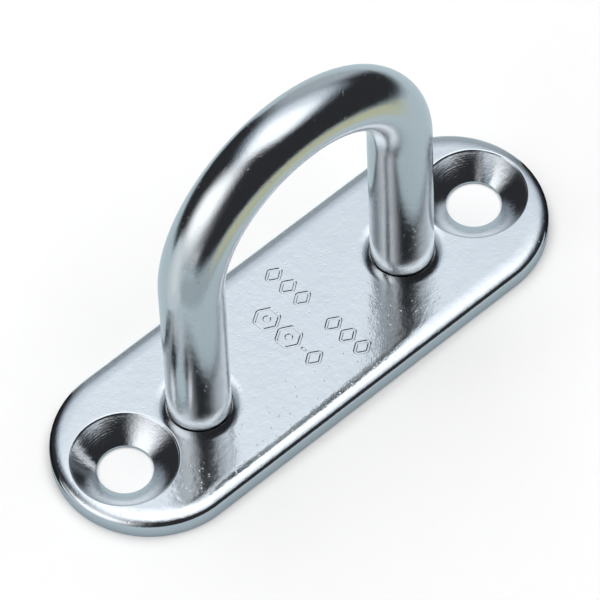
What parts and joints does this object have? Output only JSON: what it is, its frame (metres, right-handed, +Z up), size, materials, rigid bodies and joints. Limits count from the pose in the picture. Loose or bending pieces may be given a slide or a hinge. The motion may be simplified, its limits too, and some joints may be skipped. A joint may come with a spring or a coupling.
{
  "type": "pad eye",
  "caption": "Pad eye: polished round rod bent into a U-shaped eye, welded from below into an obround base plate with countersunk screw holes.",
  "frame": {"origin": "middle of the plate's underside, where the fitting sits on the deck", "axes": "+X along the plate through both screw holes, +Y across the plate, +Z up through the eye, away from the deck"},
  "size_m": [0.0462, 0.0154, 0.0294],
  "materials": {
    "plate_steel": "stamped stainless sheet, bright barrel-polished, with a faint orange-peel ripple",
    "rod_steel": "bright polished stainless rod, faint drawing lines along the legs",
    "weld_metal": "as-welded bead, pickled to a dull satin"
  },
  "bodies": {
    "root": {"base_plate": "plate_steel", "eye_bow": "rod_steel", "weld_left": "weld_metal", "weld_right": "weld_metal"}
  },
  "joints": []
}
